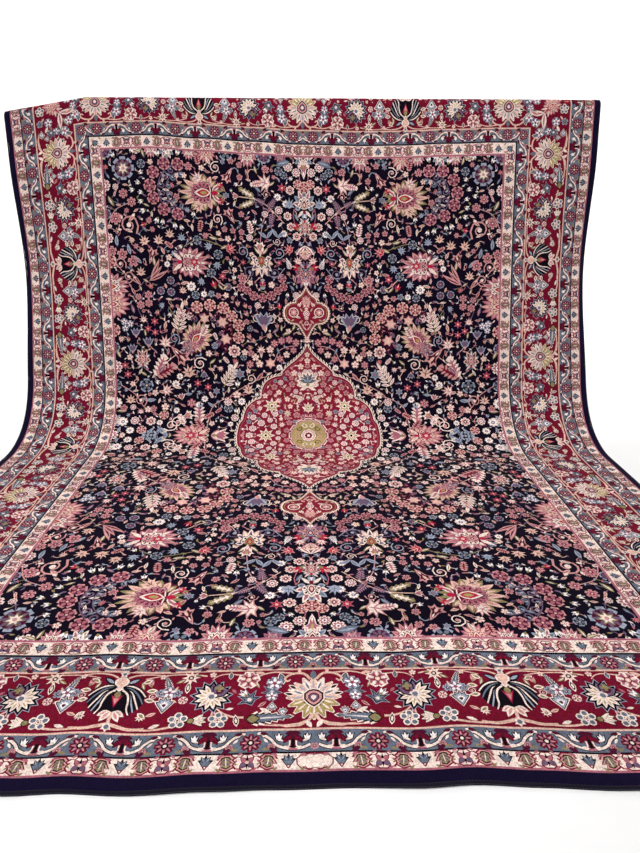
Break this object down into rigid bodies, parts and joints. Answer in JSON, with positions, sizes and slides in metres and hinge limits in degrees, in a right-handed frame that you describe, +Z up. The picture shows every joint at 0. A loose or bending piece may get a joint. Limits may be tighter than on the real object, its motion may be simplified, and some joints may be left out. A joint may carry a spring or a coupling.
{
  "type": "persian rug",
  "caption": "Large knotted wool rug with a floral medallion field, draped over a hidden bar, sweeping forward to lie on the floor.",
  "frame": {"origin": "on the floor, at the middle of the rug's box", "axes": "+X across the rug towards its right edge as seen from the front, -Y towards the front edge that lies on the floor, +Z up"},
  "size_m": [3.1195, 2.583, 1.6891],
  "materials": {
    "wool_pile": "dense cut wool pile, matt with a slight sheen"
  },
  "bodies": {
    "root": {"rug": "wool_pile"}
  },
  "joints": []
}
